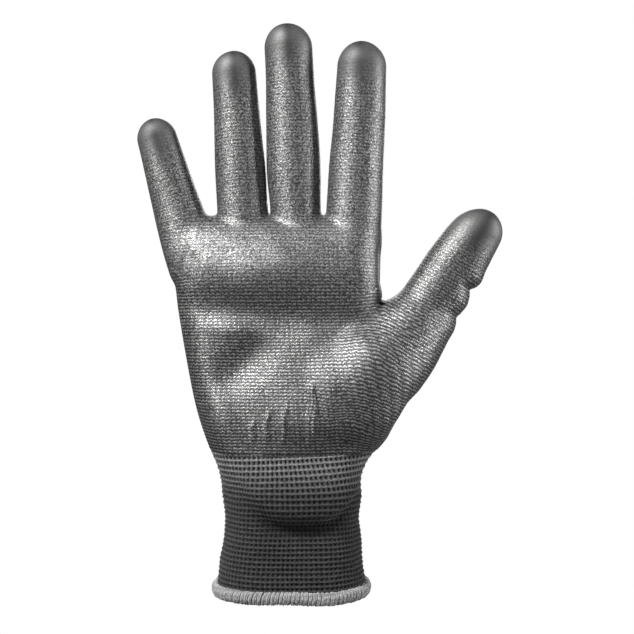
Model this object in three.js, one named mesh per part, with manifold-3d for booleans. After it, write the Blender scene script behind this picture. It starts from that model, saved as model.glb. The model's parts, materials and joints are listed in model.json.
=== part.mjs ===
// A right-hand cut-resistant glove, in the shape it has on a hand: a seamless knitted liner, a film of
// polyurethane over the palm and the fronts of the fingers, a knitted cuff with elastic yarn, and an
// overlocked hem.
// Millimetres. +Z runs from the cuff to the fingertips, the palm faces -Y and the thumb points to +X.
// The origin is the centre of the cuff's mouth.
import * as THREE from "three";
import { mergeVertices } from "three/addons/utils/BufferGeometryUtils.js";
import Module from "manifold-3d";

const wasm = await Module();
wasm.setup();

// ---- Driving dimensions ---------------------------------------------------------------------------------
const knitWall = 1.2; // knitted liner
const filmWall = 0.5; // polyurethane film
const clearance = 0.3; // between faces that touch
const depthShare = 0.88; // a stall's depth over its width
const pivotForward = 1.5; // a fold's axis lies this far in front of the stall's own axis
const filmBehind = 2.0; // the film wraps this far round behind the hand's middle plane
const filmStartHeight = 59; // lower edge of the film on the palm

const wrist = { height: 41, flex: 50, extend: 40 }; // the cuff folds here, in degrees each way
const cuffTop = 57; // where the cuff's rib meets the plain knit of the palm
const bandBottom = 2.6; // the cuff's raw edge, inside the hem
const hem = { halfHeight: 2.9, halfThickness: 2.1 };
const elastic = { radius: 0.45, pitch: 2.6, bottom: 8, top: 29, sides: 4, stepsPerTurn: 12 };

// Each stall runs from base to tip, both [x, z] in the hand's middle plane. Widths are full widths, and
// the folds are [distance from the base, flexion limit, extension limit] in millimetres and degrees. turn
// is how far the bending direction is turned from straight forward, towards the fingers.
const stalls = [
  { name: "index", base: [25.7, 163], tip: [28.9, 233.6], widths: [22.4, 19.8], turn: 0,
    folds: [[8, 75, 15], [29, 84, 0], [50, 42, 0]] },
  { name: "middle", base: [1.4, 163], tip: [-1.7, 241.6], widths: [21.4, 19.2], turn: 0,
    folds: [[8, 75, 15], [32, 84, 0], [55, 42, 0]] },
  { name: "ring", base: [-20.6, 159.5], tip: [-25.1, 229.8], widths: [20.4, 17.4], turn: 0,
    folds: [[8, 75, 15], [29, 84, 0], [50, 42, 0]] },
  { name: "little", base: [-44.6, 152.5], tip: [-57.2, 201.4], widths: [19.6, 15.4], turn: 0,
    folds: [[7, 75, 15], [24.5, 84, 0], [38.5, 42, 0]] },
  { name: "thumb", base: [52, 115], tip: [82.4, 162.2], widths: [27.4, 20.6], turn: 28,
    folds: [[8, 40, 10], [29, 50, 10]] },
];
const segmentNames = { 3: ["base", "mid", "tip"], 2: ["base", "tip"] };
const foldNames = { 3: ["knuckle", "mid", "tip"], 2: ["knuckle", "tip"] };
const stallReach = 16; // how far a stall reaches down into the palm, so that the two join
const domeShare = 0.56; // the length of a stall's rounded end over its width there
const domeDegrees = [35, 65, 84]; // the rings of the rounded end
const filmOverTip = 0.45; // the film goes right round a stall's end, for this share of its width

// Sections of the palm, [height, left edge, right edge, half depth], and of the cuff.
const palmSections = [
  [cuffTop, -32.0, 30.0, 19.6],
  [79, -40.0, 35.4, 19.2],
  [103, -45.4, 39.4, 17.6],
  [135, -50.4, 37.8, 14.4],
  [149, -52.0, 36.6, 11.4],
  [158, -36.0, 29.0, 5.6],
];
const cuffSections = [
  [bandBottom, -32.0, 32.0, 23.0],
  [12, -30.6, 30.0, 22.4],
  [29, -28.8, 28.6, 21.0],
  [47, -29.0, 28.8, 20.2],
  [cuffTop, -32.0, 30.0, 19.6],
];
// The ball of the thumb, from the wrist side to the thumb's base: [x, z, half width].
const thumbBall = [[23.5, 67, 10.6], [34, 85, 15.2], [44, 101, 15.6], [52, 115, 12.2]];
const thumbBallDepth = 0.96;

const palmSides = 20;
const stallSides = 12;
const palmSquareness = 0.82; // of the outline: 1 is an ellipse, and less is fuller at the corners
const cuffSquareness = 0.9;
const far = 60; // half size of the blocks that cut the stalls
const foldGap = 0.7; // half the height of a fold on its axis
const weldDistance = 1e-4;

// ---- Solids ---------------------------------------------------------------------------------------------
const radians = THREE.MathUtils.degToRad;

function solidOf(geometry) {
  const bare = geometry.index ? geometry.toNonIndexed() : geometry.clone();
  bare.deleteAttribute("normal");
  bare.deleteAttribute("uv");
  const merged = mergeVertices(bare, weldDistance);
  return new wasm.Manifold(new wasm.Mesh({
    numProp: 3,
    vertProperties: merged.attributes.position.array,
    triVerts: new Uint32Array(merged.index.array),
  }));
}

function geometryOf(solid) {
  const { numProp, numVert, vertProperties, triVerts } = solid.getMesh();
  const position = new Float32Array(numVert * 3);
  for (let i = 0; i < numVert; i++)
    position.set(vertProperties.subarray(i * numProp, i * numProp + 3), i * 3);
  const geometry = new THREE.BufferGeometry()
    .setAttribute("position", new THREE.BufferAttribute(position, 3))
    .setIndex(new THREE.BufferAttribute(triVerts, 1));
  geometry.computeVertexNormals();
  return geometry;
}

const joined = (solids) => solids.reduce((a, b) => a.add(b));

// A closed body through rings of points. Each ring is a list of Vector3, anticlockwise seen from its end.
function loft(rings) {
  const sides = rings[0].length;
  const middle = (ring) =>
    ring.reduce((sum, p) => sum.add(p), new THREE.Vector3()).divideScalar(sides);
  const points = [...rings.flat(), middle(rings[0]), middle(rings.at(-1))];
  const [bottom, top] = [points.length - 2, points.length - 1];
  const faces = [];
  for (let side = 0; side < sides; side++) {
    const next = (side + 1) % sides;
    faces.push([bottom, next, side]);
    for (let ring = 0; ring < rings.length - 1; ring++) {
      const [low, high] = [ring * sides, (ring + 1) * sides];
      faces.push([low + side, low + next, high + next], [low + side, high + next, high + side]);
    }
    const last = (rings.length - 1) * sides;
    faces.push([top, last + side, last + next]);
  }
  const geometry = new THREE.BufferGeometry().setFromPoints(faces.flat().map((i) => points[i]));
  return solidOf(geometry);
}

// A ring of points on an ellipse-like outline.
function ring(place, halfWidth, halfDepth, sides, squareness = 1) {
  return Array.from({ length: sides }, (_, i) => {
    const angle = (2 * Math.PI * i) / sides;
    const full = (v) => Math.sign(v) * Math.abs(v) ** squareness;
    return place(halfWidth * full(Math.cos(angle)), halfDepth * full(Math.sin(angle)));
  });
}

// The band through flat sections [height, left, right, half depth], grown by offset.
function flatLoft(sections, offset, squareness, endGrowth = 0) {
  const last = sections.length - 1;
  return loft(sections.map(([height, left, right, depth], i) => {
    const lift = i === last ? endGrowth : 0;
    const place = (x, y) => new THREE.Vector3((left + right) / 2 + x, y, height + lift);
    return ring(place, (right - left) / 2 + offset, depth + offset, palmSides, squareness);
  }));
}

// ---- Stalls ---------------------------------------------------------------------------------------------
// A stall's own frame: z along it, -y the way it bends, x the axis that it bends about.
function frameOf(stall) {
  const [[x0, z0], [x1, z1]] = [stall.base, stall.tip];
  const along = new THREE.Vector3(x1 - x0, 0, z1 - z0).normalize();
  const inward = new THREE.Vector3(-along.z, 0, along.x);
  const bend = new THREE.Vector3(0, -1, 0)
    .multiplyScalar(Math.cos(radians(stall.turn)))
    .addScaledVector(inward, Math.sin(radians(stall.turn)));
  const axis = new THREE.Vector3().crossVectors(along, bend);
  return new THREE.Matrix4().makeBasis(axis, bend.clone().negate(), along).setPosition(x0, 0, z0);
}

const lengthOf = ({ base, tip }) => Math.hypot(tip[0] - base[0], tip[1] - base[1]);

function stallSolid(stall, offset) {
  const length = lengthOf(stall);
  const [baseWidth, tipWidth] = stall.widths;
  const domeLength = tipWidth * domeShare;
  const shoulder = length - domeLength;
  const halfWidth = (s) => {
    const share = THREE.MathUtils.clamp(s / shoulder, 0, 1);
    return THREE.MathUtils.lerp(baseWidth, tipWidth, share) / 2;
  };
  const straight = [-stallReach - offset, 0, shoulder / 2, shoulder];
  const stations = straight.map((s) => [s, halfWidth(s) + offset]);
  for (const degrees of domeDegrees)
    stations.push([
      shoulder + (domeLength + offset) * Math.sin(radians(degrees)),
      (halfWidth(shoulder) + offset) * Math.cos(radians(degrees)),
    ]);
  const frame = frameOf(stall);
  return loft(stations.map(([s, half]) => {
    const place = (x, y) => new THREE.Vector3(x, y, s).applyMatrix4(frame);
    const depth = offset + (half - offset) * depthShare;
    return ring(place, half, Math.max(depth, half * depthShare), stallSides);
  }));
}

// Everything on one side of a fold: side -1 is the base's side, and 1 is the tip's. The two faces part as a
// wedge in front and behind, so that both sides can turn to their limits, and gap parts them on the axis.
function besideFold(frame, [at, flex, extend], side, gap, pivot = -pivotForward) {
  const front = gap + (far + pivot) * Math.tan(radians(flex / 2));
  const back = gap + (far - pivot) * Math.tan(radians(extend / 2));
  const shape = new THREE.Shape([
    new THREE.Vector2(-far, at + side * 4 * far),
    new THREE.Vector2(-far, at + side * front),
    new THREE.Vector2(pivot, at + side * gap),
    new THREE.Vector2(far, at + side * back),
    new THREE.Vector2(far, at + side * 4 * far),
  ]);
  const geometry = new THREE.ExtrudeGeometry(shape, { depth: 2 * far, bevelEnabled: false });
  const upright = new THREE.Matrix4()
    .makeBasis(new THREE.Vector3(0, 1, 0), new THREE.Vector3(0, 0, 1), new THREE.Vector3(1, 0, 0))
    .setPosition(-far, 0, 0);
  return solidOf(geometry.applyMatrix4(upright).applyMatrix4(frame));
}

// A shell cut into its rigid segments and its folds.
function cutAtFolds(shell, frame, folds) {
  const segments = [];
  let rest = shell;
  for (const fold of folds) {
    segments.push(rest.intersect(besideFold(frame, fold, -1, foldGap)));
    rest = rest.intersect(besideFold(frame, fold, 1, foldGap));
  }
  return [...segments, rest];
}

function foldSolid(shell, frame, fold, pivot) {
  const gap = foldGap - clearance;
  return shell
    .subtract(besideFold(frame, fold, -1, gap, pivot))
    .subtract(besideFold(frame, fold, 1, gap, pivot));
}

function box(low, high) {
  const size = high.map((v, i) => v - low[i]);
  const geometry = new THREE.BoxGeometry(...size);
  return solidOf(geometry.translate(...low.map((v, i) => v + size[i] / 2)));
}

// ---- The hand's own shape, grown by offset --------------------------------------------------------------
function thumbBallSolid(offset) {
  const frame = frameOf({ ...stalls.at(-1), turn: 0 });
  const [across, , along] = [0, 1, 2].map((i) => new THREE.Vector3().setFromMatrixColumn(frame, i));
  const rings = thumbBall.map(([x, z, half], i) => {
    const end = { 0: -offset, [thumbBall.length - 1]: offset }[i] ?? 0;
    const centre = new THREE.Vector3(x, 0, z).addScaledVector(along, end);
    const place = (u, v) => centre.clone().addScaledVector(across, u).add(new THREE.Vector3(0, v, 0));
    return ring(place, half + offset, half * thumbBallDepth + offset, stallSides);
  });
  return loft(rings);
}

const handWithoutStalls = (offset) =>
  flatLoft(palmSections, offset, palmSquareness, offset).add(thumbBallSolid(offset));

function handSolid(offset) {
  const stubs = stalls.map((stall) =>
    stallSolid(stall, offset).intersect(besideFold(frameOf(stall), stall.folds[0], -1, foldGap)));
  return joined([handWithoutStalls(offset), ...stubs]);
}

const handHollow = (offset) =>
  joined([handWithoutStalls(offset), ...stalls.map((stall) => stallSolid(stall, offset))]);

// ---- Nodes ----------------------------------------------------------------------------------------------
const knitMaterial = new THREE.MeshStandardMaterial({ color: 0x3c3c3e, roughness: 0.95, metalness: 0 });
const cuffMaterial = new THREE.MeshStandardMaterial({ color: 0x303032, roughness: 0.95, metalness: 0 });
const filmMaterial = new THREE.MeshStandardMaterial({ color: 0x545455, roughness: 0.5, metalness: 0 });
const hemMaterial = new THREE.MeshStandardMaterial({ color: 0xa3a3a0, roughness: 0.9, metalness: 0 });
const elasticMaterial = new THREE.MeshStandardMaterial({ color: 0x565658, roughness: 0.7, metalness: 0 });

const glove = new THREE.Group();

function addNode(name, solid, material) {
  const mesh = new THREE.Mesh(geometryOf(solid), material);
  mesh.name = name;
  glove.add(mesh);
}

function addStall(stall) {
  const frame = frameOf(stall);
  const outer = stallSolid(stall, 0);
  const knit = outer.subtract(stallSolid(stall, -knitWall));
  const film = stallSolid(stall, clearance + filmWall).subtract(stallSolid(stall, clearance));
  const length = lengthOf(stall);
  const endStart = length - stall.widths[1] * filmOverTip;
  const frontOnly = box([-far, -far, -far], [far, filmBehind, endStart])
    .add(box([-far, -far, endStart - clearance / 3], [far, far, 4 * far]));
  const frontFilm = film.intersect(solidOf(geometryOf(frontOnly).applyMatrix4(frame)));
  const names = segmentNames[stall.folds.length];
  const folds = foldNames[stall.folds.length];

  const knitParts = cutAtFolds(knit, frame, stall.folds).slice(1);
  const filmParts = cutAtFolds(frontFilm, frame, stall.folds).slice(1);
  names.forEach((part, i) => {
    addNode(`${stall.name}_${part}_knit`, knitParts[i], knitMaterial);
    addNode(`${stall.name}_${part}_film`, filmParts[i], filmMaterial);
  });
  stall.folds.forEach((fold, i) =>
    addNode(`${stall.name}_${folds[i]}_fold`, foldSolid(knit, frame, fold), knitMaterial));
}

function addPalm() {
  const mouth = flatLoft(palmSections.slice(0, 2), -knitWall, palmSquareness);
  const knit = handSolid(0).subtract(handHollow(-knitWall)).subtract(mouth.translate([0, 0, -knitWall]));
  addNode("palm_knit", knit, knitMaterial);
  const front = box([-2 * far, -far, filmStartHeight], [2 * far, filmBehind, 4 * far]);
  const film = handSolid(clearance + filmWall).subtract(handHollow(clearance)).intersect(front);
  addNode("palm_film", film, filmMaterial);
}

// The elastic yarn lies against the cuff's inside, in one helix.
class Helix extends THREE.Curve {
  constructor(bottom, top) {
    super();
    Object.assign(this, { bottom, top, turns: (top - bottom) / elastic.pitch });
  }
  getPoint(t) {
    const height = THREE.MathUtils.lerp(this.bottom, this.top, t);
    const above = cuffSections.findIndex(([z]) => z >= height);
    const [low, high] = [cuffSections[above - 1], cuffSections[above]];
    const share = (height - low[0]) / (high[0] - low[0]);
    const [, left, right, depth] = low.map((v, i) => THREE.MathUtils.lerp(v, high[i], share));
    const inset = knitWall + clearance + 2 * elastic.radius;
    const angle = 2 * Math.PI * this.turns * t;
    const x = (left + right) / 2 + ((right - left) / 2 - inset) * Math.cos(angle);
    return new THREE.Vector3(x, (depth - inset) * Math.sin(angle), height);
  }
}

function elasticSolid() {
  const path = new Helix(elastic.bottom, elastic.top);
  const section = new THREE.Shape(Array.from({ length: elastic.sides }, (_, i) => {
    const angle = (2 * Math.PI * i) / elastic.sides;
    return new THREE.Vector2(Math.cos(angle), Math.sin(angle)).multiplyScalar(elastic.radius);
  }));
  const steps = Math.ceil(path.turns * elastic.stepsPerTurn);
  const options = { steps, bevelEnabled: false, extrudePath: path };
  return solidOf(new THREE.ExtrudeGeometry(section, options));
}

function hemSolid() {
  const [, left, right, depth] = cuffSections[0];
  // The roll's cross-section, as shares of its half thickness and half height.
  const outline = [[1, 0], [0.5, 0.9], [-0.5, 0.9], [-1, 0], [-0.5, -0.9], [0.5, -0.9]];
  const turned = (inset) => {
    const place = (x, y) => new THREE.Vector3((left + right) / 2 + x, y, 0);
    return ring(place, (right - left) / 2 - inset, depth - inset, palmSides, cuffSquareness);
  };
  const points = outline.map(([u, v]) =>
    turned(knitWall / 2 - u * hem.halfThickness)
      .map((p) => p.clone().setZ(hem.halfHeight * (1 + v))));
  const faces = [];
  for (let i = 0; i < outline.length; i++) {
    const [near, next] = [points[i], points[(i + 1) % outline.length]];
    for (let j = 0; j < palmSides; j++) {
      const k = (j + 1) % palmSides;
      faces.push(near[j], near[k], next[k], near[j], next[k], next[j]);
    }
  }
  return solidOf(new THREE.BufferGeometry().setFromPoints(faces));
}

function addCuff() {
  const beyond = 1; // what is cut away reaches past the ends by this much
  const stretched = (sections, below, above) => sections.map(([height, ...rest], i) => {
    const lift = { 0: -below, [sections.length - 1]: above }[i] ?? 0;
    return [height + lift, ...rest];
  });
  const outer = flatLoft(cuffSections, 0, cuffSquareness);
  const inner = flatLoft(stretched(cuffSections, beyond, beyond), -knitWall, cuffSquareness);
  const topless = outer.intersect(box([-far, -far, 0], [far, far, cuffTop - clearance]));
  const tube = topless.subtract(inner);
  const frame = new THREE.Matrix4();
  const fold = [wrist.height, wrist.flex, wrist.extend];
  const band = tube.intersect(besideFold(frame, fold, -1, foldGap, 0));
  const throat = tube.intersect(besideFold(frame, fold, 1, foldGap, 0));
  addNode("cuff_band", band, cuffMaterial);
  addNode("cuff_throat", throat, cuffMaterial);
  addNode("wrist_fold", foldSolid(tube, frame, fold, 0), cuffMaterial);

  // The binding holds the band's raw edge in a slot.
  const edge = cuffSections.slice(0, 2);
  const slot = flatLoft(stretched(edge, clearance, 0), clearance, cuffSquareness);
  const core = flatLoft(stretched(edge, 5 * beyond, beyond), -knitWall - clearance, cuffSquareness);
  addNode("hem_binding", hemSolid().subtract(slot.subtract(core)), hemMaterial);
  addNode("band_elastic", elasticSolid(), elasticMaterial);
}

addCuff();
addPalm();
stalls.forEach(addStall);

export default glove;
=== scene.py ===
"""A right-hand cut-resistant glove as it looks on a hand: a knitted liner, a film over its palm side, a
ribbed cuff and an overlocked hem. Lengths are in millimetres until a mesh is made, and then in metres."""

import json
import math

import bmesh
import bpy
import numpy as np
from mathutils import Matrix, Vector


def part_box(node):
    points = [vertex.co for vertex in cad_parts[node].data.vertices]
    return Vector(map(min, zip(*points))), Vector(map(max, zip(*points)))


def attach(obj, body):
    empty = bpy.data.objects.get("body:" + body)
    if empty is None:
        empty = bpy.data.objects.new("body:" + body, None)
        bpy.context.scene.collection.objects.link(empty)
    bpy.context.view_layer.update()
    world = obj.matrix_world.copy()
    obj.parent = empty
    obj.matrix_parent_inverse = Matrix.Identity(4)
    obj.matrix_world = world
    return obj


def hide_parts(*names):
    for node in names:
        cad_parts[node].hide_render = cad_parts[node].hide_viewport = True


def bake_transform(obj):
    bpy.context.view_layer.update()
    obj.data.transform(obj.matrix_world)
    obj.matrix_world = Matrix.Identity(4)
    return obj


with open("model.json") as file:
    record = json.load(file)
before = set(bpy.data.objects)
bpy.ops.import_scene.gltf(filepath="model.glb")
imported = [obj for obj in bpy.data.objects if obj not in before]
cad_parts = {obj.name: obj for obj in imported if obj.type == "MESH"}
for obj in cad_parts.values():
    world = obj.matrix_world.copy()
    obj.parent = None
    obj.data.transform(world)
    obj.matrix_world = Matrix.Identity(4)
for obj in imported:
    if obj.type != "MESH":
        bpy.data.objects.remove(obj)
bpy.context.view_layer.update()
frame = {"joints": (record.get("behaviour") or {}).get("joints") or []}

MM = 0.001
TAU = 2 * math.pi

# ---- The hand form ---------------------------------------------------------------------
# Stalls, as (x, z) of the base and the tip, and sections of (distance along, shift, half width).
FINGERS = ("index", "middle", "ring", "little", "thumb")
STALLS = {
    "index": dict(base=(26.4, 163.0), tip=(29.9, 233.2), sections=[
        (-20, -0.2, 11.4), (0, 0.0, 11.2), (16, 0.0, 11.1),
        (34, 0.2, 10.5), (52, 0.2, 10.0), (70, 0.0, 9.6)]),
    "middle": dict(base=(1.4, 163.0), tip=(-2.0, 240.6), sections=[
        (-20, 0.0, 10.6), (0, 0.1, 10.3), (14, 0.0, 10.9),
        (32, 0.2, 10.5), (52, 0.2, 9.9), (77, 0.0, 9.3)]),
    "ring": dict(base=(-20.6, 159.5), tip=(-25.0, 229.0), sections=[
        (-20, 0.0, 10.6), (0, -0.1, 10.3), (16, 0.0, 10.2),
        (34, 0.0, 9.7), (52, 0.0, 8.9), (70, 0.0, 8.4)]),
    "little": dict(base=(-45.4, 152.5), tip=(-59.2, 200.4), sections=[
        (-24, 1.2, 11.2), (-6, 0.4, 11.0), (8, 0.0, 10.2),
        (20, -0.1, 9.2), (34, 0.0, 8.3), (50, 0.0, 7.5)]),
    "thumb": dict(base=(52.3, 105.5), tip=(81.4, 162.0), sections=[
        (-14, -3.6, 12.3), (4, -3.0, 12.8), (17, -2.4, 12.4),
        (27, -1.9, 11.8), (33, -1.3, 11.6), (40, -0.5, 11.5),
        (50, 0.5, 10.5), (57, 1.4, 9.3), (64, 2.0, 8.5)]),
}
DEPTH_SHARE = 0.9  # a stall's depth over its width
DOME_SHARE = 1.02  # a fingertip's dome length over its half width
BOW = 3.0  # a fingertip leans this far forward
STALL_REACH = 14  # a stall starts to close this far below its base, inside the palm,
STALL_CLOSE = 10  # and is shut over about this length

# The palm and the cuff: height, left edge, right edge, half depth at the middle, radius at the edges.
PALM_SECTIONS = [
    (-9, -32.6, 32.2, 23.4, 18.0),
    (1, -31.8, 31.4, 23.0, 17.6),
    (13, -30.6, 29.8, 22.4, 17.0),
    (27, -28.6, 28.8, 21.4, 16.4),
    (41, -28.9, 28.9, 21.0, 16.0),
    (51, -30.2, 29.0, 20.6, 15.6),
    (61, -34.2, 31.0, 20.2, 14.6),
    (77, -39.2, 34.0, 19.4, 13.2),
    (93, -42.6, 36.0, 18.4, 12.0),
    (111, -45.9, 37.0, 17.0, 11.0),
    (129, -48.2, 36.6, 15.4, 10.2),
    (145, -49.0, 36.6, 13.4, 9.6),
    (161, -46.0, 36.0, 11.6, 9.2),
]
PALM_TOP = 159.5
# The ball of the thumb and its web, as round cones through (x, y, z, radius).
THUMB_BALL = [
    (22.0, -1.0, 63.0, 9.2), (28.6, -3.0, 74.0, 11.0), (34.4, -3.4, 87.0, 12.0),
    (41.6, -2.6, 99.0, 12.6), (50.0, -1.0, 112.0, 13.0)]
THUMB_WEB = [(20.0, -4.5, 92.0, 13.0), (33.0, -4.5, 99.5, 13.5), (46.0, -2.5, 107.0, 13.5)]
# How softly the forms run together.
BALL_SOFTNESS = 8.0
THUMB_SOFTNESS = 5.0
FINGER_SOFTNESS = 3.2
CROTCH_SOFTNESS = 0.8  # between one finger and the next

# Soft pads and hollows in front: x, z, half length, half width, turn in degrees, height.
FRONT_RELIEF = [
    (-10, 136, 40, 12, 1, 4.8),  # the pads under the fingers
    (26, 137, 9, 16, 0, 1.8),
    (-36, 139, 8, 12, -10, 1.0),
    (-4, 118, 44, 8, -6, -3.0),  # the crease across the palm
    (-26, 112.5, 13, 4.5, -8, 1.5),
    (-20, 98, 17, 8.5, 37, -3.5),  # the hollow beside the ball of the thumb
    (26, 84, 30, 20, 26, 6.5),  # the ball of the thumb
    (-30, 80, 20, 8, 105, 2.0),  # the heel under the little finger
]
# Creases and ridges in front: x, z of both ends, half width, height.
FRONT_LINES = [
    (8.9, 90, 6.6, 65, 1.0, 1.25),
    (12.4, 87, 10.8, 67, 1.6, -0.3),
    (-2.0, 82, -3.4, 65, 1.0, 0.5),
    (-9.0, 80, -10.2, 66, 1.0, 0.45),
    (-15.0, 76, -16.0, 66, 1.0, 0.3),
    (-37.8, 144, -41.3, 130, 2.6, -0.6),
    (-40.9, 148, -43.0, 133, 2.0, 0.35),
    (-35.0, 142, -38.0, 130, 1.8, 0.22),
]

# The film's shrinkage on the thumb's outer side: distance along the stall, half width, height.
THUMB_NOTCHES = [(31.3, 1.7, -1.3), (36.3, 3.2, 0.9), (25, 3.2, 1.0), (18.4, 1.8, -0.9), (12.5, 3.5, 0.7)]

WALE = 1.95  # the knit's pitch across
COURSE = 1.38  # and along
STALL_WALES = 34  # round each stall
PITCH = 0.62  # of the grid that the hand is meshed on
HAND_BOX = ((-66.0, -28.0, 55.0), (102.0, 26.0, 247.0))  # and the grid's corners
CUFF_TOP = 63.0  # the cuff's mesh ends here, under the film
FILM_LOW = 60.6  # the film's lower edge
FILM_BEHIND = 2.6  # the film wraps this far behind the middle plane
FILM_THICK = 0.42
ROW_HEIGHT = 0.045  # of the knit's rows in the film's surface
GRAIN_HEIGHT = 0.04  # of the film's pebbles
STITCH_DEPTH = 0.3  # between the loops of the bare knit
LINER_SINK = 0.1  # the knit's loops end this far inside the form
FILM_TUCK = -0.4  # the film's mesh goes this far past its edge, under the knit's surface
FILM_SINK = 0.25  # and this deep
FILM_EDGE = 1.6  # it reaches its full thickness this far inside the edge
CROTCH_LINE = np.array([[39.5, 123.4], [24.0, 58.0]])  # between the palm and the thumb


def smoothstep(low, high, value):
    t = np.clip((value - low) / (high - low), 0, 1)
    return t * t * (3 - 2 * t)


def smooth_curve(knots, values, at):
    """A cubic through the values, with the slopes of their neighbours."""
    knots, values = np.asarray(knots, float), np.asarray(values, float)
    slopes = np.gradient(values, knots)
    i = np.clip(np.searchsorted(knots, at) - 1, 0, len(knots) - 2)
    width = knots[i + 1] - knots[i]
    t = np.clip((at - knots[i]) / width, 0, 1)
    return ((1 + 2 * t) * (1 - t) ** 2 * values[i] + t * (1 - t) ** 2 * width * slopes[i]
            + t * t * (3 - 2 * t) * values[i + 1] - t * t * (1 - t) * width * slopes[i + 1])


def smooth_union(a, b, radius):
    h = np.clip(0.5 + 0.5 * (b - a) / radius, 0, 1)
    return b + (a - b) * h - radius * h * (1 - h)


def column(rows, i):
    return [row[i] for row in rows]


# ---- The hand form as a distance field -------------------------------------------------
class Stall:
    def __init__(self, base, tip, sections):
        self.base = np.array([base[0], 0, base[1]])
        run = np.array([tip[0] - base[0], 0, tip[1] - base[1]])
        self.length = np.linalg.norm(run)
        self.along = run / self.length
        self.across = np.array([self.along[2], 0, -self.along[0]])
        self.sections = sections

    def local(self, p):
        """Distance along the stall, across it and behind it, from its own bowed middle line."""
        rel = p - self.base
        s = rel @ self.along
        shift = smooth_curve(column(self.sections, 0), column(self.sections, 1), s)
        bow = BOW * (np.clip(s, 0, None) / self.length) ** 2
        return s, rel @ self.across - shift, rel[..., 1] + bow

    def half_width(self, s):
        return smooth_curve(column(self.sections, 0), column(self.sections, 2), s)

    def distance(self, p):
        s, u, v = self.local(p)
        a = self.half_width(s)
        dome = self.half_width(self.length) * DOME_SHARE
        beyond = np.clip(s - (self.length - dome), 0, None) / dome
        below = np.clip(-STALL_REACH - s, 0, None) / STALL_CLOSE
        r = np.sqrt((u / a) ** 2 + (v / (a * DEPTH_SHARE)) ** 2 + beyond ** 2 + below ** 2)
        return (r - 1) * a * DEPTH_SHARE


def round_cone(p, a, b, ra, rb):
    a, b = np.array(a), np.array(b)
    run = b - a
    t = np.clip((p - a) @ run / (run @ run), 0, 1)
    return np.linalg.norm(p - a - t[..., None] * run, axis=-1) - (ra + t * (rb - ra))


stalls = {name: Stall(**STALLS[name]) for name in FINGERS}


def palm_section(z):
    heights = column(PALM_SECTIONS, 0)
    left, right, depth, edge = (smooth_curve(heights, column(PALM_SECTIONS, i), z) for i in (1, 2, 3, 4))
    return (left + right) / 2, (right - left) / 2, depth, edge


def palm_distance(p):
    z = p[..., 2]
    centre, half, depth, edge = palm_section(z)
    dx = p[..., 0] - centre
    over = np.clip(np.abs(dx) - (half - edge), 0, None)
    above = np.clip(z - (PALM_TOP - edge), 0, None)
    crown = (depth - edge) * np.clip(1 - (dx / half) ** 2, 0, 1)
    crown = crown * (1 - smoothstep(PALM_TOP - 14, PALM_TOP, z))
    return np.sqrt(over ** 2 + p[..., 1] ** 2 + above ** 2) - edge - crown


def hand_distance(p):
    palm = palm_distance(p)
    for chain in (THUMB_BALL, THUMB_WEB):
        for (*a, ra), (*b, rb) in zip(chain, chain[1:]):
            palm = smooth_union(palm, round_cone(p, a, b, ra, rb), BALL_SOFTNESS)
    palm = smooth_union(palm, stalls["thumb"].distance(p), THUMB_SOFTNESS)
    result = palm
    for name in FINGERS[:4]:
        with_palm = smooth_union(palm, stalls[name].distance(p), FINGER_SOFTNESS)
        result = smooth_union(result, with_palm, CROTCH_SOFTNESS)
    return result


def gradient(field, p, here=None, step=0.03):
    here = field(p) if here is None else here
    return np.stack([(field(p + step * axis) - here) / step for axis in np.eye(3)], -1)


def onto_surface(field, p, rounds=3):
    for _ in range(rounds):
        here = field(p)
        g = gradient(field, p, here)
        p = p - g * (here / np.maximum((g ** 2).sum(-1), 0.05))[:, None]
    return p


# ---- Meshing ---------------------------------------------------------------------------
def surface_nets(field, low, high, pitch):
    """Quads around the field's zero surface: one vertex in each cell that the surface crosses."""
    axes = [np.arange(a, b + pitch, pitch) for a, b in zip(low, high)]
    slabs = []
    for x in axes[0]:
        yy, zz = np.meshgrid(axes[1], axes[2], indexing="ij")
        slabs.append(field(np.stack([np.full_like(yy, x), yy, zz], -1)).astype(np.float32))
    value = np.stack(slabs)
    inside = value < 0
    nx, ny, nz = (n - 1 for n in value.shape)
    offsets = [(i, j, k) for i in (0, 1) for j in (0, 1) for k in (0, 1)]
    corners_in = sum(inside[i:i + nx, j:j + ny, k:k + nz].astype(np.int8) for i, j, k in offsets)
    cells = np.argwhere((corners_in > 0) & (corners_in < 8))
    number = np.full((nx, ny, nz), -1, np.int32)
    number[tuple(cells.T)] = np.arange(len(cells))
    at = np.stack([value[tuple((cells + o).T)] for o in offsets], 1)
    total, count = np.zeros((len(cells), 3)), np.zeros(len(cells))
    for a in range(8):
        for b in range(a + 1, 8):
            if sum(x != y for x, y in zip(offsets[a], offsets[b])) != 1:
                continue
            crossing = (at[:, a] < 0) != (at[:, b] < 0)
            t = at[crossing, a] / (at[crossing, a] - at[crossing, b])
            start, run = np.array(offsets[a], float), np.subtract(offsets[b], offsets[a])
            total[crossing] += start + t[:, None] * run
            count[crossing] += 1
    points = np.array(low) + (cells + total / count[:, None]) * pitch
    quads = []
    for axis in range(3):
        one, b, c = np.roll(np.eye(3, dtype=int), -axis, 0)
        near = inside[:-one[0] or None, :-one[1] or None, :-one[2] or None]
        far = inside[one[0]:, one[1]:, one[2]:]
        edges = np.argwhere(near != far)
        keep = (edges[:, (axis + 1) % 3] > 0) & (edges[:, (axis + 2) % 3] > 0)
        keep &= (edges < np.array([nx, ny, nz])).all(1)
        edges = edges[keep]
        ring = [number[tuple((edges - o).T)] for o in (b + c, c, 0 * c, b)]
        quad = np.stack(ring, 1)
        outward = near[tuple(edges.T)]
        quads.append(np.where(outward[:, None], quad, quad[:, ::-1]))
    return points, np.concatenate(quads)


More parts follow.
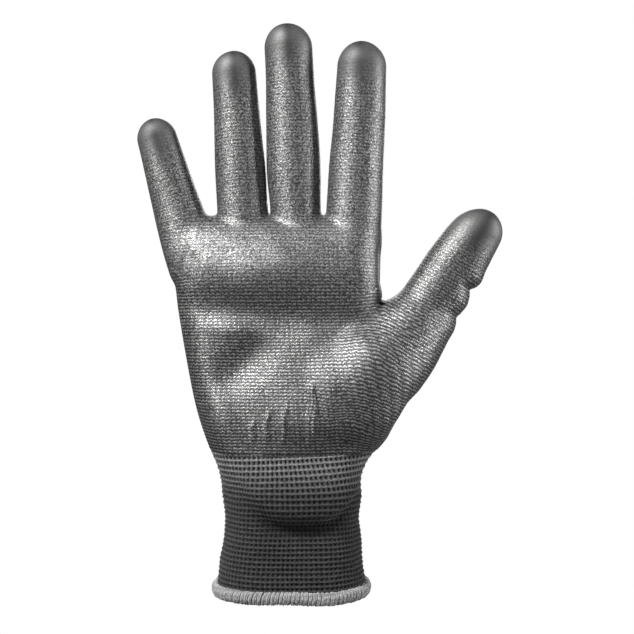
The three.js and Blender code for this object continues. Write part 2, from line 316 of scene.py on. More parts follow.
def relax(field, points, quads, rounds):
    """Evens the mesh out along the surface."""
    pairs = np.concatenate([quads[:, [i, (i + 1) % 4]] for i in range(4)])
    count = np.bincount(pairs.ravel(), minlength=len(points))[:, None]
    for _ in range(rounds):
        total = np.stack([
            np.bincount(pairs[:, 0], points[pairs[:, 1], i], len(points))
            + np.bincount(pairs[:, 1], points[pairs[:, 0], i], len(points)) for i in range(3)], 1)
        points = onto_surface(field, 0.5 * points + 0.5 * total / count, 1)
    return points


def new_mesh(name, points, faces):
    mesh = bpy.data.meshes.new(name)
    mesh.from_pydata(points, [], faces)
    mesh.shade_smooth()
    return mesh


def coordinates(mesh):
    flat = np.empty(len(mesh.vertices) * 3, np.float32)
    mesh.vertices.foreach_get("co", flat)
    return flat.reshape(-1, 3).astype(float)


def normals(mesh):
    flat = np.empty(len(mesh.vertices) * 3, np.float32)
    mesh.vertex_normals.foreach_get("vector", flat)
    return flat.reshape(-1, 3).astype(float)


def store(mesh, name, values):
    kind = "FLOAT_VECTOR" if values.ndim == 2 else "FLOAT"
    attribute = mesh.attributes.new(name, kind, "POINT")
    field = "vector" if values.ndim == 2 else "value"
    attribute.data.foreach_set(field, values.astype(np.float32).ravel())


# ---- Where a joint splits the hand -----------------------------------------------------
SEGMENTS = {"index": 3, "middle": 3, "ring": 3, "little": 3, "thumb": 2}
SEGMENT_NAMES = {3: ("base", "mid", "tip"), 2: ("base", "tip")}
FOLD_NAMES = {3: ("knuckle", "mid", "tip"), 2: ("knuckle", "tip")}
joints = {joint["name"]: joint for joint in frame["joints"]}
# How far a bend reaches from its joint along the stall: at most, below the first joint and above the last.
LONGEST_REACH = 10.5
ROOT_REACH = 7.6
TIP_REACH = 8.0


def folds_of(finger):
    """For each joint of a finger: its name, and the start and end of its bend along the CAD stall's axis."""
    names = FOLD_NAMES[SEGMENTS[finger]]
    places = [np.array(joints[f"{finger}_{n}"]["pos_m"]) / MM for n in names]
    run = places[-1] - places[0]
    along = run / np.linalg.norm(run)
    gaps = [np.linalg.norm(b - a) for a, b in zip(places, places[1:])]
    reach = [min(gap / 2 - 0.2, LONGEST_REACH) for gap in gaps]
    before = [ROOT_REACH, *reach]
    after = [*reach, min(reach[-1], TIP_REACH)]
    return [(f"{finger}_{n}", place - along * low, place + along * high, along)
            for n, place, low, high in zip(names, places, before, after)]


folds = {finger: folds_of(finger) for finger in FINGERS}


def nearest_stall(p):
    """The number in FINGERS of the stall that each point is nearest to."""
    return np.stack([stalls[n].distance(p) for n in FINGERS], -1).argmin(-1)


def split_planes(mesh):
    """Cuts the mesh where one piece's bend ends and the next begins."""
    work = bmesh.new()
    work.from_mesh(mesh)
    for i, finger in enumerate(FINGERS):
        for _, start, _, along in folds[finger]:
            centres = np.array([v.co for v in work.verts])
            side = (centres - start) @ along
            near = (np.abs(side) < 3) & (nearest_stall(centres) == i)
            verts = [v for v, hit in zip(work.verts, near) if hit]
            faces = {f for v in verts for f in v.link_faces}
            edges = {e for f in faces for e in f.edges}
            chosen = {v for f in faces for v in f.verts}
            bmesh.ops.bisect_plane(
                work, geom=[*chosen, *edges, *faces], dist=0.02, plane_co=start, plane_no=along)
    work.to_mesh(mesh)
    work.free()


def face_pieces(centres):
    """Each face's piece: 0 is the palm, and the stalls' segments follow."""
    owner = nearest_stall(centres)
    piece = np.zeros(len(centres), int)
    names = ["palm"]
    for i, finger in enumerate(FINGERS):
        for part, (_, start, _, along) in zip(SEGMENT_NAMES[SEGMENTS[finger]], folds[finger]):
            names.append(f"{finger}_{part}")
            piece[(owner == i) & ((centres - start) @ along > 0)] = len(names) - 1
    return piece, names


# ---- The knit's own directions ---------------------------------------------------------
def knit_coordinates(p, owner):
    """Wales across and courses along, counted in stitches, for every vertex."""
    centre, half, _, edge = palm_section(np.minimum(p[:, 2], PALM_TOP))
    flat = half - edge
    dx = p[:, 0] - centre
    turn = np.arctan2(np.clip(np.abs(dx) - flat, 0, None), np.abs(p[:, 1]) + 1e-6)
    reach = np.minimum(np.abs(dx), flat) + edge * turn
    around = flat + edge * math.pi / 2
    wale = np.sign(dx) * np.where(p[:, 1] < 0, reach, 2 * around - reach) / WALE
    course = p[:, 2] / COURSE

    # Past the crotch line, the courses turn to run across the thumb.
    thumb = stalls["thumb"]
    line = CROTCH_LINE[0] - CROTCH_LINE[1]
    line = line / np.linalg.norm(line)
    beyond = (p[:, 0] - CROTCH_LINE[1, 0]) * line[1] - (p[:, 2] - CROTCH_LINE[1, 1]) * line[0]
    crotch = np.array([CROTCH_LINE[0, 0], 0, CROTCH_LINE[0, 1]])
    along = (p - crotch) @ thumb.along + crotch[2]
    share = smoothstep(-14, 10, beyond) * smoothstep(55, 74, p[:, 2])
    share = np.where((p[:, 2] > crotch[2]) & (owner != FINGERS.index("thumb")), 0, share)
    course = course + share * (along / COURSE - course)
    for i, finger in enumerate(FINGERS):
        stall = stalls[finger]
        s, u, v = stall.local(p)
        mine = owner == i
        low, high = (-4, 14) if finger == "thumb" else (-2, 12)
        weight = np.where(mine, smoothstep(low, high, s), 0)
        angle = np.arctan2(u, -v / DEPTH_SHARE)
        wale = wale + weight * (angle / TAU * STALL_WALES + round(stall.base[0] / WALE) - wale)
        if finger != "thumb":
            course = course + weight * ((s + stall.base[2]) / COURSE - course)
    return wale, course


# ---- Sculpting -------------------------------------------------------------------------
def relief(p, n):
    """How far the glove stands out of the smooth form: pads, hollows, creases and slack."""
    front = smoothstep(0.05, 0.65, -n[:, 1])
    facing = smoothstep(0.25, 0.8, -n[:, 1]) * smoothstep(59, 76, p[:, 2])
    x, z = p[:, 0], p[:, 2]
    out = np.zeros(len(p))
    for cx, cz, long, wide, turn, height in FRONT_RELIEF:
        c, s = math.cos(math.radians(turn)), math.sin(math.radians(turn))
        a, b = ((x - cx) * c + (z - cz) * s) / long, ((z - cz) * c - (x - cx) * s) / wide
        out += facing * height * np.exp(-(a * a) - b * b)
    for x0, z0, x1, z1, wide, height in FRONT_LINES:
        run = np.array([x1 - x0, z1 - z0])
        t = ((x - x0) * run[0] + (z - z0) * run[1]) / (run @ run)
        wander = 0.35 * np.sin(9 * t + x0)
        nearest = np.clip(t, 0, 1)
        away = np.hypot(x - x0 - nearest * run[0] + wander, z - z0 - nearest * run[1])
        ends = smoothstep(-0.12, 0.25, t) * smoothstep(1.12, 0.75, t)
        out += front * height * ends * np.exp(-((away / wide) ** 2))
    # Slack: broad, shallow waves that don't repeat.
    out += 0.16 * np.sin(0.21 * x + 0.6 * np.sin(0.09 * z)) * np.sin(0.13 * z + 0.17 * x + 0.1 * p[:, 1])
    # The film shrinks a little into the thumb's outer side.
    thumb = stalls["thumb"]
    s, _, _ = thumb.local(p)
    outer = smoothstep(0.3, 0.9, n @ thumb.across) * (nearest_stall(p) == FINGERS.index("thumb"))
    for at, wide, height in THUMB_NOTCHES:
        out += outer * height * np.exp(-(((s - at) / wide) ** 2))
    return out


def film_mask(p, owner):
    """Millimetres inside the film's edge, negative outside it."""
    wave = 0.8 * np.sin(0.31 * p[:, 2] + 0.4 * p[:, 0]) + 0.5 * np.sin(0.83 * p[:, 2] - 0.5 * p[:, 0] + 1)
    low = p[:, 2] - FILM_LOW
    mask = np.minimum(FILM_BEHIND + wave - p[:, 1], low)
    for i, finger in enumerate(FINGERS):
        s, _, _ = stalls[finger].local(p)
        cap = s - (stalls[finger].length - 11 - 1.5 * p[:, 1] / 9 + 0.5 * wave)
        mask = np.where(owner == i, np.maximum(mask, cap), mask)
    return mask


def stitch_relief(wale, course):
    """The face of plain knitting, from 0 in the holes to 1 on the loops: columns of nested V shapes."""
    across = wale - np.floor(wale) - 0.5
    lean = course + 0.85 * np.abs(across)
    leg = 0.5 + 0.5 * np.cos(TAU * lean)
    pair = np.abs(np.sin(TAU * np.abs(across)))
    return np.sqrt(np.clip(pair, 0, 1)) * (0.35 + 0.65 * leg)


def value_noise(p, scale, seed):
    """Smooth noise from -1 to 1 that repeats every 48 cells."""
    size = 48
    lattice = np.random.RandomState(seed).uniform(-1, 1, (size, size, size))
    cell = np.floor(p * scale).astype(int)
    part = p * scale - cell
    part = part * part * (3 - 2 * part)
    total = np.zeros(len(p))
    for corner in np.ndindex(2, 2, 2):
        weight = np.prod(np.where(corner, part, 1 - part), axis=1)
        total += weight * lattice[tuple(((cell + corner) % size).T)]
    return total


def grain_relief(p):
    """The film's pebbly skin."""
    return 0.5 * value_noise(p, 1.2, 3) + 0.7 * value_noise(p[:, [2, 0, 1]], 1.9, 8)


def film_relief(wale, course):
    """The knit as it shows through the film: courses first, and wales faintly."""
    row = 0.5 + 0.5 * np.cos(TAU * course + 0.7 * np.cos(TAU * wale))
    column_gap = np.abs(np.sin(math.pi * wale)) ** 0.6
    return 2 * row * (0.45 + 0.55 * column_gap) - 1


def show_through(p, owner):
    """Where the knit shows through: most on the lower palm and the thumb's ball, least at the fingertips."""
    strength = 0.4 + 0.6 * smoothstep(150, 108, p[:, 2]) + 0.35 * smoothstep(78, 62, p[:, 2])
    for i, finger in enumerate(FINGERS):
        s, _, _ = stalls[finger].local(p)
        fade = 0.34 * smoothstep(stalls[finger].length - 6, stalls[finger].length - 26, s) + 0.06
        if finger == "thumb":
            fade = 0.06 + 0.8 * smoothstep(stalls[finger].length - 8, stalls[finger].length - 36, s)
        strength = np.where(owner == i, np.minimum(strength, fade + smoothstep(6, -10, s)), strength)
    return strength


def grain_share(p, owner):
    """The pebbles wear smooth towards the fingertips."""
    share = np.ones(len(p))
    for i, finger in enumerate(FINGERS):
        s, _, _ = stalls[finger].local(p)
        length = stalls[finger].length
        share = np.where(owner == i, 0.12 + 0.88 * smoothstep(length - 5, length - 26, s), share)
    return share


# The painted shade line down the front of each fingertip, standing in for the dark gap between the lamps
# reflected there: its place and its half width, as shares of half the stall.
PAINTED_TIP_SHADE_LINES = {"index": (-0.17, 0.3), "middle": (0.0, 0.22), "ring": (0.03, 0.24), "little": (0.0, 0.25),
             "thumb": (0.1, 0.3)}


def painted_tip_shade_share(p, owner):
    """Painted shade: a darker line in front of each fingertip, standing in for the dark gap between the
    lamps reflected there, and darker over its end.
    """
    share = np.zeros(len(p))
    for i, finger in enumerate(FINGERS):
        s, u, v = stalls[finger].local(p)
        length, wide = stalls[finger].length, stalls[finger].half_width(s)
        at, spread = PAINTED_TIP_SHADE_LINES[finger]
        line = np.exp(-(((u / wide - at) / spread) ** 2)) * smoothstep(length - 24, length - 12, s)
        end = 0.8 * smoothstep(length - 4.5, length + 1, s)
        share = np.where((owner == i) & (v < 3), np.maximum(line, end), share)
    return share


# ---- Materials -------------------------------------------------------------------------
class Nodes:
    """A material's node tree, built by short calls. A socket given as a tuple (node, name) is linked."""

    def __init__(self, name):
        self.material = bpy.data.materials.new(name)
        self.material.use_nodes = True
        self.tree = self.material.node_tree
        self.shader = self.tree.nodes["Principled BSDF"]

    def add(self, kind, inputs=None, **settings):
        node = self.tree.nodes.new(kind)
        for key, value in settings.items():
            setattr(node, key, value)
        for key, value in (inputs or {}).items():
            self.set(node.inputs[key], value)
        return node

    def set(self, socket, value):
        if isinstance(value, bpy.types.NodeSocket):
            self.tree.links.new(value, socket)
        else:
            socket.default_value = value

    def attribute(self, name, vector=False):
        node = self.add("ShaderNodeAttribute", attribute_name=name)
        return node.outputs["Vector" if vector else "Fac"]

    def math(self, operation, a, b=0.0, c=0.0):
        return self.add("ShaderNodeMath", {0: a, 1: b, 2: c}, operation=operation).outputs[0]

    def noise(self, vector, scale, detail=3.0, roughness=0.55):
        inputs = {"Vector": vector, "Scale": scale, "Detail": detail, "Roughness": roughness}
        return self.add("ShaderNodeTexNoise", inputs).outputs["Fac"]

    def voronoi(self, vector, scale):
        inputs = {"Vector": vector, "Scale": scale}
        return self.add("ShaderNodeTexVoronoi", inputs, feature="SMOOTH_F1").outputs["Distance"]

    def spread(self, value, low, high, to_low, to_high):
        inputs = {"Value": value, "From Min": low, "From Max": high, "To Min": to_low, "To Max": to_high}
        return self.add("ShaderNodeMapRange", inputs).outputs["Result"]

    def mix(self, share, a, b):
        node = self.add("ShaderNodeMix", data_type="RGBA")
        for index, value in ((0, share), (6, a), (7, b)):
            self.set(node.inputs[index], value)
        return node.outputs[2]

    def bump(self, height, distance, strength=1.0):
        inputs = {"Height": height, "Distance": distance * MM, "Strength": strength}
        return self.add("ShaderNodeBump", inputs).outputs["Normal"]

    def finish(self, **inputs):
        for key, value in inputs.items():
            self.set(self.shader.inputs[key.replace("_", " ")], value)
        return self.material


def grey(value, warmth=0.0):
    return (value * (1 + warmth), value, value * (1 - warmth), 1.0)


def film_material():
    m = Nodes("film")
    rest = m.attribute("rest", vector=True)
    through = m.attribute("through")
    rows = m.attribute("relief")
    worn = m.attribute("grain")
    thin = m.attribute("thin")
    fine = m.noise(rest, 2.1, 2.0, 0.7)
    pebble = m.voronoi(rest, 1.25)
    patches = m.noise(rest, 0.05, 2.0, 0.5)
    speck = m.spread(fine, 0.4, 0.62, 0.0, 1.0)
    dots = m.spread(pebble, 0.15, 0.6, 1.0, 0.0)
    salt = m.math("MULTIPLY_ADD", speck, 0.55, m.math("MULTIPLY", dots, 0.45))
    salt = m.math("MULTIPLY_ADD", m.math("SUBTRACT", salt, 0.36), worn, 0.36)
    shown = m.math("MULTIPLY_ADD", m.math("MULTIPLY", rows, through), 0.48, 0.5)
    tone = m.math("MULTIPLY", salt, m.math("MULTIPLY", shown, 2.0))
    base = m.mix(m.spread(tone, 0.18, 0.86, 0.0, 1.0), grey(0.004, 0.01), grey(0.29, 0.01))
    base = m.mix(m.spread(patches, 0.35, 0.65, 0.0, 0.25), base, grey(0.045, 0.01))
    # Painted shade: the dark line down each fingertip's front and the darker fingertip ends.
    base = m.mix(m.math("MULTIPLY", m.attribute("painted_tip_shade"), 0.85), base, grey(0.012, 0.01))
    base = m.mix(thin, base, m.mix(m.spread(tone, 0.2, 0.9, 0.0, 1.0), grey(0.003), grey(0.17)))
    rough = m.math("MULTIPLY_ADD", worn, -0.2, m.spread(tone, 0.05, 0.9, 0.66, 0.5))
    height = m.math("MULTIPLY_ADD", m.math("MULTIPLY", salt, worn), 0.6, m.math("MULTIPLY", shown, 0.3))
    return m.finish(Base_Color=base, Roughness=rough, Normal=m.bump(height, 0.13), Specular_IOR_Level=1.0,
                    Metallic=0.4)


def knit_material(name, dark, light, warmth=0.0):
    m = Nodes(name)
    rest = m.attribute("rest", vector=True)
    stitch = m.attribute("relief")
    fibre = m.noise(rest, 1.7, 3.0, 0.7)
    patches = m.noise(rest, 0.12, 2.0, 0.5)
    loops, fuzz = m.spread(stitch, 0.05, 0.9, 0.0, 1.0), m.spread(fibre, 0.36, 0.66, 0.15, 1.0)
    shade = m.math("MULTIPLY", loops, fuzz)
    base = m.mix(shade, grey(dark, warmth), grey(light, warmth))
    base = m.mix(m.spread(patches, 0.3, 0.7, 0.0, 0.15), base, grey(light * 0.5, warmth))
    # Lighter threads on the cuff's top front: partly film, partly painted light on the top of the bulge.
    base = m.mix(m.math("MULTIPLY", shade, m.attribute("coat")), base, grey(0.27))
    # Painted shade: the knit darkens in the fold across the cuff's front.
    base = m.mix(m.math("MULTIPLY", m.attribute("painted_fold_shade"), 0.75), base, grey(dark))
    height = m.math("MULTIPLY_ADD", stitch, 0.8, m.math("MULTIPLY", fibre, 0.35))
    return m.finish(Base_Color=base, Roughness=0.86, Normal=m.bump(height, 0.25), Specular_IOR_Level=0.15,
                    Sheen_Weight=0.16, Sheen_Roughness=0.4)


def thread_material(name, dark, light):
    m = Nodes(name)
    rest = m.attribute("rest", vector=True)
    ply = m.attribute("ply")
    fibre = m.noise(rest, 1.9, 3.0, 0.7)
    twist = m.math("SINE", m.math("MULTIPLY", ply, TAU))
    patches = m.noise(rest, 0.25, 2.0, 0.5)
    shade = m.math("MULTIPLY", m.spread(twist, -1.0, 0.6, 0.5, 1.0), m.spread(fibre, 0.37, 0.64, 0.25, 1.0))
    base = m.mix(shade, grey(dark), grey(light))
    base = m.mix(m.spread(patches, 0.35, 0.7, 0.0, 0.35), base, grey(light * 0.7, 0.01))
    height = m.math("MULTIPLY_ADD", twist, 0.35, fibre)
    return m.finish(Base_Color=base, Roughness=0.8, Normal=m.bump(height, 0.12), Sheen_Weight=0.2)


# ---- Pieces ----------------------------------------------------------------------------
def add_piece(name, mesh, material):
    mesh.transform(((MM, 0, 0, 0), (0, MM, 0, 0), (0, 0, MM, 0), (0, 0, 0, 1)))
    mesh.materials.append(material)
    piece = bpy.data.objects.new(name, mesh)
    bpy.context.scene.collection.objects.link(piece)
    return piece


def submesh(name, points, faces, loops, point_normals, values):
    """A mesh of some faces of a bigger one, with the bigger one's smooth normals."""
    used = np.unique(loops)
    place = np.full(len(points), -1)
    place[used] = np.arange(len(used))
    mesh = new_mesh(name, points[used].tolist(), [[place[i] for i in face] for face in faces])
    for key, value in values.items():
        store(mesh, key, value[used])
    mesh.normals_split_custom_set_from_vertices(point_normals[used].tolist())
    return mesh


def hand_mesh():
    low, high = (np.array(corner) for corner in HAND_BOX)
    points, quads = surface_nets(hand_distance, low, high, PITCH)
    open_end = points[quads][:, :, 2].min(1) > low[2] + PITCH * 1.5
    quads = quads[open_end]
    used = np.unique(quads)
    place = np.full(len(points), -1)
    place[used] = np.arange(len(used))
    points, quads = points[used], place[quads]
    points = onto_surface(hand_distance, points, 3)
    points = relax(hand_distance, points, quads, 3)
    mesh = new_mesh("hand", points.tolist(), quads.tolist())
    split_planes(mesh)
    return mesh


def subdivided(mesh):
    """Each face in four, flat, so that the new vertices can be moved onto the form."""
    helper = bpy.data.objects.new("helper", mesh)
    bpy.context.scene.collection.objects.link(helper)
    modifier = helper.modifiers.new("finer", "SUBSURF")
    modifier.subdivision_type = "SIMPLE"
    modifier.levels = 1
    graph = bpy.context.evaluated_depsgraph_get()
    finer = bpy.data.meshes.new_from_object(helper.evaluated_get(graph))
    bpy.data.objects.remove(helper)
    return finer


def bend(piece, name):
    """Hangs the palm's pieces on the hand's body, and bakes any other piece's place into its mesh."""
    if name == "palm":
        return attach(piece, "hand")
    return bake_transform(piece)


def stands_for(name, coat):
    if name == "palm":
        return [f"palm_{coat}"]
    if coat == "film":
        return [f"{name}_film"]
    finger, part = name.split("_")
    count = SEGMENTS[finger]
    return [f"{name}_knit", f"{finger}_{FOLD_NAMES[count][SEGMENT_NAMES[count].index(part)]}_fold"]


def face_loops(mesh):
    count = len(mesh.polygons)
    starts, sizes = np.empty(count, np.int32), np.empty(count, np.int32)
    mesh.polygons.foreach_get("loop_start", starts)
    mesh.polygons.foreach_get("loop_total", sizes)
    corners = np.empty(len(mesh.loops), np.int32)
    mesh.loops.foreach_get("vertex_index", corners)
    return starts, sizes, corners


def moved(mesh, points):
    """A copy of the mesh with its vertices moved, and its vertex normals."""
    copy = mesh.copy()
    copy.vertices.foreach_set("co", points.astype(np.float32).ravel())
    copy.update()
    result = normals(copy)
    bpy.data.meshes.remove(copy)
    return result


def make_hand(knit, film):
    mesh = hand_mesh()
    mesh = subdivided(mesh)
    points = onto_surface(hand_distance, coordinates(mesh), 1)
    smooth = gradient(hand_distance, points)
    smooth /= np.linalg.norm(smooth, axis=1)[:, None]
    owner = nearest_stall(points)
    wale, course = knit_coordinates(points, owner)
    points = points + smooth * relief(points, smooth)[:, None]
    smooth = moved(mesh, points)
    mask = film_mask(points, owner)
    through = show_through(points, owner)
    stitches = stitch_relief(wale, course)
    film_rows = film_relief(wale, course)
    bare = smoothstep(0.5, -1.5, mask)
    liner_points = points + smooth * ((stitches - 1) * STITCH_DEPTH * bare - LINER_SINK)[:, None]
    thin = smoothstep(FILM_LOW + 15, FILM_LOW, points[:, 2])
    thickness = FILM_THICK * (1 + 0.6 * (1 - np.minimum(through, 1))) * (1 - 0.65 * thin)
    lift = (thickness + FILM_SINK) * smoothstep(FILM_TUCK, FILM_EDGE, mask) - FILM_SINK
    grain = grain_share(points, owner)
    # Painted shade down the front of each fingertip and over its end.
    painted_tip_shade = painted_tip_shade_share(points, owner)
    texture = ROW_HEIGHT * through * film_rows + GRAIN_HEIGHT * grain * grain_relief(points)
    film_points = points + smooth * (lift + texture * smoothstep(0, 2, mask))[:, None]
    layers = {
        "liner": (liner_points, moved(mesh, liner_points), stitches, "knit"),
        "coating": (film_points, moved(mesh, film_points), film_rows, "film"),
    }
    shared = {"rest": points, "through": through, "grain": grain, "thin": thin, "painted_tip_shade": painted_tip_shade}

    starts, sizes, corners = face_loops(mesh)
    centres = np.add.reduceat(points[corners], starts) / sizes[:, None]
    piece_of, names = face_pieces(centres)
    face_mask = np.maximum.reduceat(mask[corners], starts)
    highest = np.minimum.reduceat(points[corners, 2], starts)
    for index, name in enumerate(names):
        for layer, (at, point_normals, rows, slot) in layers.items():
            chosen = piece_of == index
            chosen &= face_mask > FILM_TUCK if slot == "film" else highest > CUFF_TOP - 3
            faces = [corners[a:a + n] for a, n in zip(starts[chosen], sizes[chosen])]
            values = {"relief": rows, **shared}
            part = submesh(f"{name}_{layer}", at, faces, np.concatenate(faces), point_normals, values)
            piece = add_piece(f"{name}_{layer}", part, film if slot == "film" else knit)
            bend(piece, name)
            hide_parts(*stands_for(name, slot))


# ---- The cuff --------------------------------------------------------------------------
CUFF_WALES = 88
CUFF_SAMPLES = 6  # mesh columns in a wale
CUFF_LEVELS = 165  # mesh rows
HEM_MIDDLE = 3.0
CUFF_BOTTOM = 2.6
CUFF_WALL = 1.25
CUFF_STITCH_DEPTH = 0.75
CUFF_FUZZ = 0.16
OUTLINE_POINTS = 720  # for the hem and the elastic, round the cuff
# Slack in the cuff's front: x, z, half length, half width, height.
CUFF_LINES = [(-8.0, 8.5, 30.0, 4.0, 0.6), (-14.0, 24.0, 9.0, 8.0, 0.5), (14.0, 19.0, 12.0, 5.0, 0.4)]
POUCH_HEIGHT = 4.2
FOLD_DEPTH = 2.2


def around_cuff(count):
    """Unit directions that are evenly spaced along the cuff's outline, as arrays of x and y."""
    _, half, depth, _ = palm_section(np.array([20.0]))
    fine = np.linspace(0, TAU, 2001)
    outline = np.stack([half * np.cos(fine), depth * np.sin(fine)], 1)
    length = np.concatenate([[0], np.cumsum(np.linalg.norm(np.diff(outline, axis=0), axis=1))])
    angle = np.interp(np.arange(count) / count * length[-1], length, fine)
    spokes = np.stack([half * np.cos(angle), depth * np.sin(angle)], 1)
    return spokes / np.linalg.norm(spokes, axis=1)[:, None]


def cuff_outline(spokes, z):
    """Where each spoke from the cuff's middle line leaves the form at each height."""
    zz, ux = np.meshgrid(z, spokes[:, 0], indexing="ij")
    uy = np.broadcast_to(spokes[:, 1], zz.shape)
    centre = palm_section(zz.ravel())[0].reshape(zz.shape)
    near, far = np.full(zz.shape, 8.0), np.full(zz.shape, 48.0)
    for _ in range(16):
        r = (near + far) / 2
        inside = hand_distance(np.stack([centre + r * ux, r * uy, zz], -1)) < 0
        near, far = np.where(inside, r, near), np.where(inside, far, r)
    return np.stack([centre + r * ux, r * uy, zz], -1)


def grid_faces(rows, columns):
    """Quads of a grid whose columns run round, with the faces pointing out."""
    i, j = np.meshgrid(np.arange(rows - 1), np.arange(columns), indexing="ij")
    k = (j + 1) % columns
    corners = [i * columns + j, i * columns + k, (i + 1) * columns + k, (i + 1) * columns + j]
    return np.stack(corners, -1).reshape(-1, 4)


def cuff_row(z, x):
    """The knitting's row number at a height: the rows are taller and slant near the palm."""
    slant = 0.045 * x * smoothstep(40, 54, z)
    return np.interp(z - slant, [-5, 0, 38, 70], [-2.5, 0, 19.6, 33.6])


def cuff_relief(wale, row):
    """Ribs of knitting with open holes between them, and a stretched elastic thread along each row."""
    u, v = wale - np.floor(wale) - 0.5, row - np.floor(row) - 0.5
    hole = np.exp(-((u / 0.28) ** 4)) * np.exp(-((v / 0.35) ** 4))
    thread = np.exp(-(((np.abs(v) - 0.5) / 0.14) ** 2))
    loops = 0.14 * np.cos(TAU * (2 * v + np.abs(u) * 1.4))
    return np.clip(0.5 * (1 - hole) + 0.5 * thread + loops * (1 - hole), 0, 1)


def fold_height(x):
    """The height of the fold across the cuff's front, lowest at its middle."""
    return 31.0 + 0.021 * (x - 4.0) ** 2 + 1.1 * np.sin(0.21 * x + 0.8)


def fold_depth(x, z):
    """The fold across the cuff's front, from 0 to 1 at its deepest."""
    return np.exp(-(((z - fold_height(x) + 1.0) / 3.8) ** 2)) * np.exp(-(((x - 4.0) / 19) ** 4))


def cuff_shape(points):
    """The cuff's own slack: a fold across its front and the bulge above it."""
    x, y, z = points[..., 0], points[..., 1], points[..., 2]
    front = smoothstep(4, -10, y)
    out = 0.25 * np.sin(0.27 * x + 0.12 * z) * np.sin(0.22 * z + 0.16 * y) * smoothstep(60, 50, z)
    for cx, cz, long, wide, height in CUFF_LINES:
        lean = cz + 0.07 * (x - cx)
        out = out + front * height * np.exp(-(((x - cx) / long) ** 2) - ((z - lean) / wide) ** 2)
    # The slack above the tight band hangs over it in front, lowest at the middle.
    fold = fold_height(x)
    pouch = smoothstep(fold - 1.0, fold + 6 + 5 * smoothstep(4, -20, x), z) * smoothstep(63, 44, z)
    out = out + front * POUCH_HEIGHT * pouch * np.exp(-(((x - 3.0) / 24) ** 4))
    out = out - front * FOLD_DEPTH * fold_depth(x, z)
    for cz, wide, height in ((33.0, 4.5, -0.7), (43.0, 5.0, 0.5)):
        out = out + (1 - front) * height * np.exp(-(((z - cz) / wide) ** 2))
    return out


def make_cuff(material):
    columns = CUFF_WALES * CUFF_SAMPLES
    z = np.linspace(CUFF_BOTTOM, CUFF_TOP, CUFF_LEVELS)
    spokes = around_cuff(columns)
    smooth = cuff_outline(spokes, z)
    out = np.concatenate([spokes, np.zeros((columns, 1))], 1)[None]
    wale = np.broadcast_to(np.arange(columns) / CUFF_SAMPLES, smooth.shape[:2])
    stitches = cuff_relief(wale, cuff_row(smooth[..., 2], smooth[..., 0]))
    fade = smoothstep(CUFF_TOP, CUFF_TOP - 2, smooth[..., 2])
    shaped = smooth + out * (cuff_shape(smooth) * fade)[..., None]
    fuzz = CUFF_FUZZ * value_noise(smooth.reshape(-1, 3), 1.5, 5).reshape(wale.shape)
    texture = (stitches - 1) * CUFF_STITCH_DEPTH * fade + fuzz - 0.3 * (1 - fade)
    outer = shaped + out * texture[..., None]
    inner = shaped[::-4, ::4] - out[:, ::4] * CUFF_WALL
    rows, inner_rows, inner_columns = len(z), len(inner), inner.shape[1]
    faces = grid_faces(rows, columns).tolist()
    faces += (grid_faces(inner_rows, inner_columns) + rows * columns).tolist()
    points = np.concatenate([outer.reshape(-1, 3), inner.reshape(-1, 3)])
    rest = np.concatenate([shaped.reshape(-1, 3), inner.reshape(-1, 3)])
    relief_values = np.concatenate([stitches.ravel(), np.full(inner_rows * inner_columns, 0.55)])
    mesh = new_mesh("cuff_knit", points.tolist(), faces)
    store(mesh, "rest", rest)
    store(mesh, "relief", relief_values)
    front = smoothstep(6, -4, rest[:, 1])
    # The lighter threads on the cuff's top front: partly film on them, partly painted light where the top of
    # the bulge over the fold faces the lamps.
    store(mesh, "coat", smoothstep(40, CUFF_TOP - 2, rest[:, 2]) * front)
    # Painted shade in the fold across the cuff's front, darkest where the fold is deepest.
    store(mesh, "painted_fold_shade", fold_depth(rest[:, 0], rest[:, 2]) * front)
    piece = add_piece("cuff_knit", mesh, material)
    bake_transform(piece)
    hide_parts("cuff_band", "cuff_throat", "wrist_fold")


def tube(path, radius, sides, closed=False):
    """A tube's points and faces along a path of points."""
    ahead = np.roll(path, -1, 0) - np.roll(path, 1, 0)
    if not closed:
        ahead[0], ahead[-1] = path[1] - path[0], path[-1] - path[-2]
    ahead /= np.linalg.norm(ahead, axis=1)[:, None]
    side = np.cross(ahead, [0.0, 0.0, 1.0])
    side[np.linalg.norm(side, axis=1) < 1e-3] = [1.0, 0.0, 0.0]
    side /= np.linalg.norm(side, axis=1)[:, None]
    over = np.cross(side, ahead)
    angle = np.arange(sides) / sides * TAU
    ring = side[:, None] * np.cos(angle)[None, :, None] + over[:, None] * np.sin(angle)[None, :, None]
    points = path[:, None] + radius * ring
    return points.reshape(-1, 3), tube_faces(len(path), sides, closed)


def tube_faces(steps, sides, closed):
    i, j = np.meshgrid(np.arange(steps if closed else steps - 1), np.arange(sides), indexing="ij")
    k, after = (j + 1) % sides, (i + 1) % steps
    corners = [i * sides + j, after * sides + j, after * sides + k, i * sides + k]
    return np.stack(corners, -1).reshape(-1, 4)


HEM_HALF_HEIGHT = 2.75
HEM_HALF_THICK = 1.95
HEM_TURNS = 216
HEM_FILL = 0.55  # the core is this much smaller than the hem
THREAD = 0.36  # the overlock thread's radius
THREAD_SIDES = 6
THREAD_SAMPLES = 18  # in a turn
# Each lay of thread: its name, turns, start in turns, radius and how far it stands out.
HEM_LAYS = [
    ("hem_overlock", HEM_TURNS, 0.0, THREAD, 0.0),
    ("hem_cover", HEM_TURNS // 2, 0.37, THREAD * 0.8, 0.11),
]


